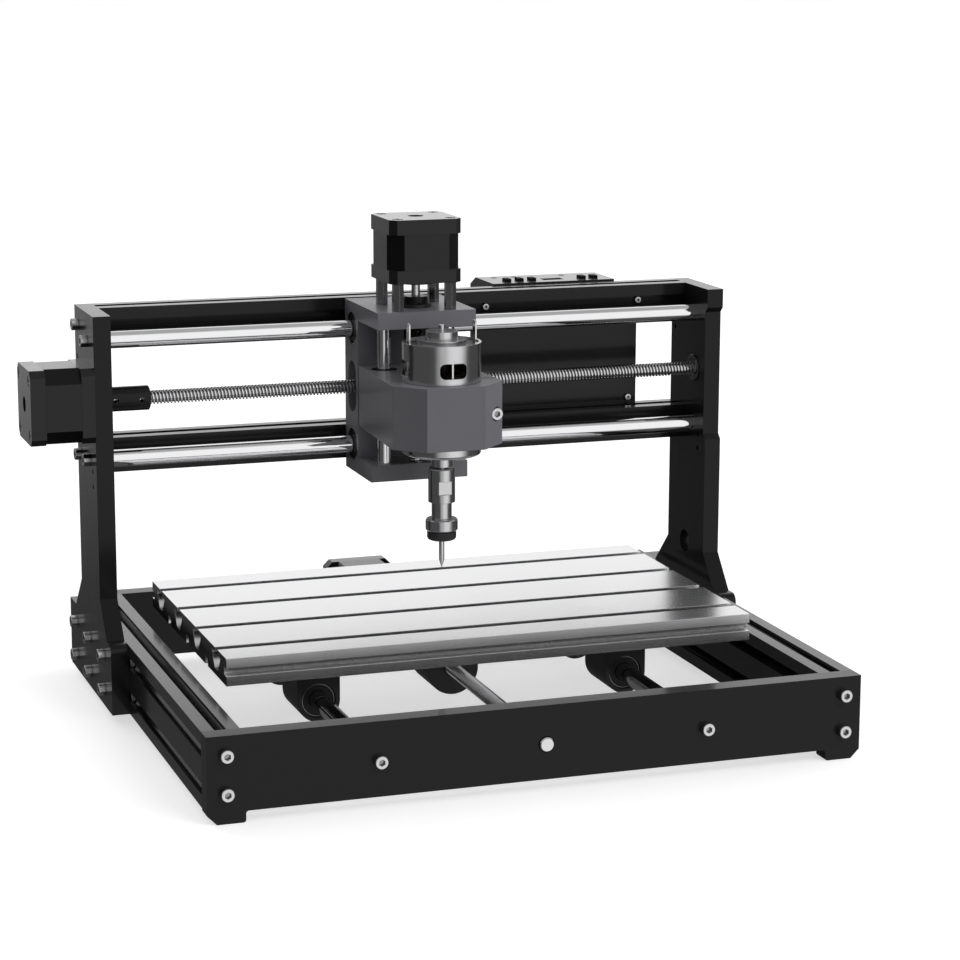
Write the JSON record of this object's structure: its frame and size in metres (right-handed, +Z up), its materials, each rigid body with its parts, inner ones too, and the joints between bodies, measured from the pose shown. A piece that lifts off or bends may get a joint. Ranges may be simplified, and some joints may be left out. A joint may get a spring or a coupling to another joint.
{
  "type": "cnc router",
  "caption": "Small gantry cnc router with a slotted moving table, lead screw drives and a clamped collet spindle.",
  "frame": {"origin": "centre of the overall bounding box at ground level", "axes": "+X along the gantry to the side away from the X motor, +Y from the front plate to the back plate, +Z up"},
  "size_m": [0.42, 0.353, 0.2783],
  "materials": {
    "black_plate": "satin",
    "black_profile": "satin anodised",
    "fastener_steel": "bright zinc",
    "polished_rod": "ground and polished",
    "screw_steel": "rolled thread",
    "bearing_steel": "ground",
    "bush_black": "moulded",
    "motor_stack": "black laminations",
    "motor_cap": "black die casting",
    "motor_shaft": "ground",
    "coupling_black": "black anodised",
    "table_aluminium": "satin extruded",
    "slider_black": "black anodised",
    "brass": "turned",
    "carriage_grey": "grey anodised",
    "can_steel": "bright plated",
    "end_bell_steel": "turned",
    "terminal_metal": "tinned",
    "chuck_steel": "ground",
    "collet_steel": "ground",
    "collet_nut_steel": "dark oxide",
    "bit_steel": "ground",
    "box_black": "satin",
    "board": "matte"
  },
  "bodies": {
    "base": {"front_plate": "black_plate", "back_plate": "black_plate", "left_rail": "black_profile", "right_rail": "black_profile", "cap_screws": "fastener_steel", "t_nuts": "fastener_steel", "y_rod_left": "polished_rod", "y_rod_right": "polished_rod", "left_upright": "black_plate", "right_upright": "black_plate", "top_beam": "black_profile", "bottom_beam": "black_profile", "x_rod_bottom": "polished_rod", "x_rod_top": "polished_rod", "x_motor_stator": "motor_stack", "x_motor_end_caps": "motor_cap", "y_motor_stator": "motor_stack", "y_motor_end_caps": "motor_cap", "stepper_screws": "fastener_steel", "screw_end_bearings": "bearing_steel", "control_box_base": "box_black", "control_box_cover": "box_black", "controller_board": "board", "control_box_screws": "fastener_steel"},
    "x_screw": {"x_lead_screw": "screw_steel", "x_coupling": "coupling_black", "x_motor_rotor": "motor_shaft"},
    "y_screw": {"y_lead_screw": "screw_steel", "y_coupling": "coupling_black", "y_motor_rotor": "motor_shaft"},
    "table": {"table_plate": "table_aluminium", "y_sliders": "slider_black", "y_linear_bearings": "bearing_steel", "y_nut_seat": "slider_black", "y_nut": "brass", "table_screws": "fastener_steel"},
    "x_carriage": {"carriage_body": "carriage_grey", "x_linear_bearings": "bearing_steel", "x_nut": "brass", "z_rods": "polished_rod", "z_standoffs": "fastener_steel", "z_motor_stator": "motor_stack", "z_motor_end_caps": "motor_cap", "z_motor_screws": "fastener_steel", "z_top_bearing": "bush_black"},
    "z_head": {"spindle_holder": "carriage_grey", "z_linear_bearings": "bearing_steel", "z_nut": "brass", "clamp_screw": "fastener_steel", "spindle_can": "can_steel", "spindle_end_bell": "end_bell_steel", "spindle_terminals": "terminal_metal"},
    "z_screw": {"z_lead_screw": "screw_steel", "z_coupling": "coupling_black", "z_motor_rotor": "motor_shaft"},
    "spindle_rotor": {"spindle_armature": "motor_shaft", "collet_chuck": "chuck_steel", "collet": "collet_steel", "collet_nut": "collet_nut_steel", "engraving_bit": "bit_steel"}
  },
  "joints": [
    {"name": "x_slide", "type": "slide", "parent": "base", "child": "x_carriage", "axis": [1, 0, 0], "range_m": [-0.1441, 0.1559]},
    {"name": "y_slide", "type": "slide", "parent": "base", "child": "table", "axis": [0, 1, 0], "range_m": [-0.103, 0.077]},
    {"name": "z_slide", "type": "slide", "parent": "x_carriage", "child": "z_head", "axis": [0, 0, 1], "range_m": [-0.019, 0.0255]},
    {"name": "x_screw_spin", "type": "hinge", "parent": "base", "child": "x_screw", "pos_m": [0.016, 0.0595, 0.177], "axis": [1, 0, 0], "continuous": true},
    {"name": "y_screw_spin", "type": "hinge", "parent": "base", "child": "y_screw", "pos_m": [0.016, -0.0225, 0.025], "axis": [0, 1, 0], "continuous": true},
    {"name": "z_screw_spin", "type": "hinge", "parent": "x_carriage", "child": "z_screw", "pos_m": [0.0096, 0.0287, 0.217], "axis": [0, 0, 1], "continuous": true},
    {"name": "spindle_spin", "type": "hinge", "parent": "z_head", "child": "spindle_rotor", "pos_m": [0.0096, -0.0185, 0.1559], "axis": [0, 0, 1], "continuous": true}
  ],
  "couplings": [
    {"joint": "x_screw_spin", "follows": "x_slide", "rad_per_m": -1570.8},
    {"joint": "y_screw_spin", "follows": "y_slide", "rad_per_m": -1570.8},
    {"joint": "z_screw_spin", "follows": "z_slide", "rad_per_m": -1570.8}
  ]
}
